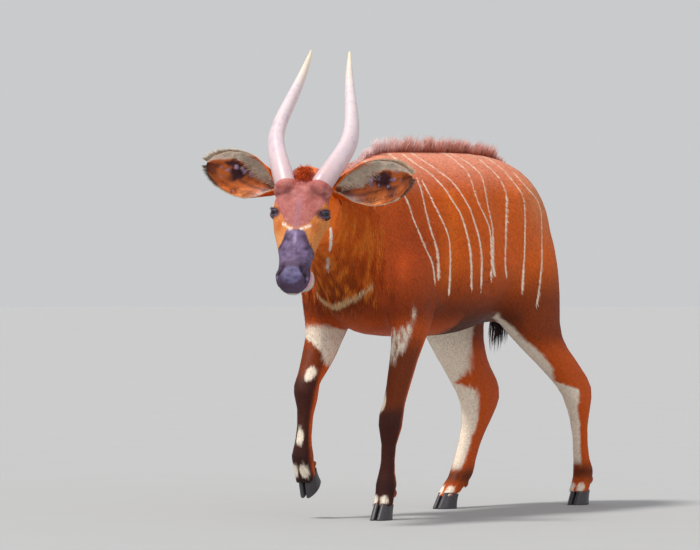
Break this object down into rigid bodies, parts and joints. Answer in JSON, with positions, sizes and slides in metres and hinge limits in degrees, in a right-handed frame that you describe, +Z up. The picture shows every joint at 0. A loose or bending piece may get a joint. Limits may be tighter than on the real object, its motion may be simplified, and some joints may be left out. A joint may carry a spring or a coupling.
{
  "type": "bongo antelope figure",
  "caption": "Still life-size figure of a striped forest antelope in mid walk, head lowered and one forefoot lifted, with lyre-shaped horns, large ears and cloven hooves.",
  "frame": {"origin": "on the floor at the middle of the bounding box seen from above", "axes": "+Z up, the animal walks towards -Y and its left side is +X"},
  "size_m": [0.6246, 1.9301, 1.5526],
  "materials": {
    "chestnut_coat": "short glossy hair, chestnut with thin white stripes, darker low down",
    "dark_coat": "dark brown to black hair",
    "face_coat": "very short hair, tan cheeks, dark bridge and muzzle, white chevron and lips",
    "hoof_horn": "grey-black hoof horn, faintly striated",
    "horn": "smooth pale horn, yellowish white at the tip",
    "eye": "wet, near black",
    "mouth": "moist pink"
  },
  "bodies": {
    "root": {"torso": "chestnut_coat", "neck": "chestnut_coat", "head": "face_coat", "tail": "dark_coat", "foreleg_left": "chestnut_coat", "foreleg_right": "chestnut_coat", "hindleg_left": "chestnut_coat", "hindleg_right": "chestnut_coat", "ear_left": "chestnut_coat", "ear_right": "chestnut_coat", "horn_left": "horn", "horn_right": "horn", "eye_left": "eye", "eye_right": "eye", "tongue": "mouth", "hoof_foreleg_left_left": "hoof_horn", "hoof_foreleg_left_right": "hoof_horn", "hoof_foreleg_right_left": "hoof_horn", "hoof_foreleg_right_right": "hoof_horn", "hoof_hindleg_left_left": "hoof_horn", "hoof_hindleg_left_right": "hoof_horn", "hoof_hindleg_right_left": "hoof_horn", "hoof_hindleg_right_right": "hoof_horn"}
  },
  "joints": []
}
